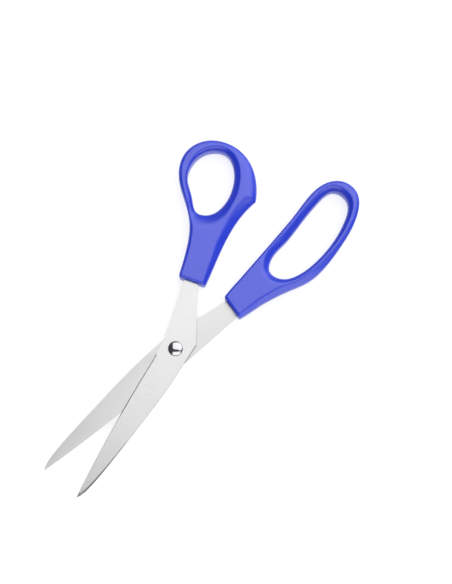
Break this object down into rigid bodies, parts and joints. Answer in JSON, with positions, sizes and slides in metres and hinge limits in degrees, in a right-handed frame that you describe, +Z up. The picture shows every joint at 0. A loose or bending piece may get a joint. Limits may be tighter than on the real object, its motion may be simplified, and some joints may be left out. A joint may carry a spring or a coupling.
{
  "type": "office scissors",
  "caption": "Right-handed office scissors with stamped steel blades on a rivet, a round plastic thumb loop and a long plastic finger loop; the blades open and close.",
  "frame": {"origin": "bottom centre of the bounding box of the open scissors, on the table they lie on", "axes": "+X along the finger blade from the pivot to its tip, +Z up from the table along the pivot's axis, away from the finger blade and towards the rivet's head; the thumb loop is on the -Y side"},
  "size_m": [0.2103, 0.0929, 0.009],
  "materials": {
    "blade_steel": "satin, finely brushed",
    "handle_plastic": "satin moulded blue",
    "rivet_steel": "polished"
  },
  "bodies": {
    "finger_half": {"finger_blade": "blade_steel", "finger_handle": "handle_plastic", "pivot_rivet": "rivet_steel", "rivet_washer": "rivet_steel"},
    "thumb_half": {"thumb_blade": "blade_steel", "thumb_handle": "handle_plastic"}
  },
  "joints": [
    {"name": "pivot_hinge", "type": "hinge", "parent": "finger_half", "child": "thumb_half", "pos_m": [0.0171, 0.0242, 0.0045], "axis": [0, 0, 1], "range_deg": [-13.3, 122]}
  ]
}
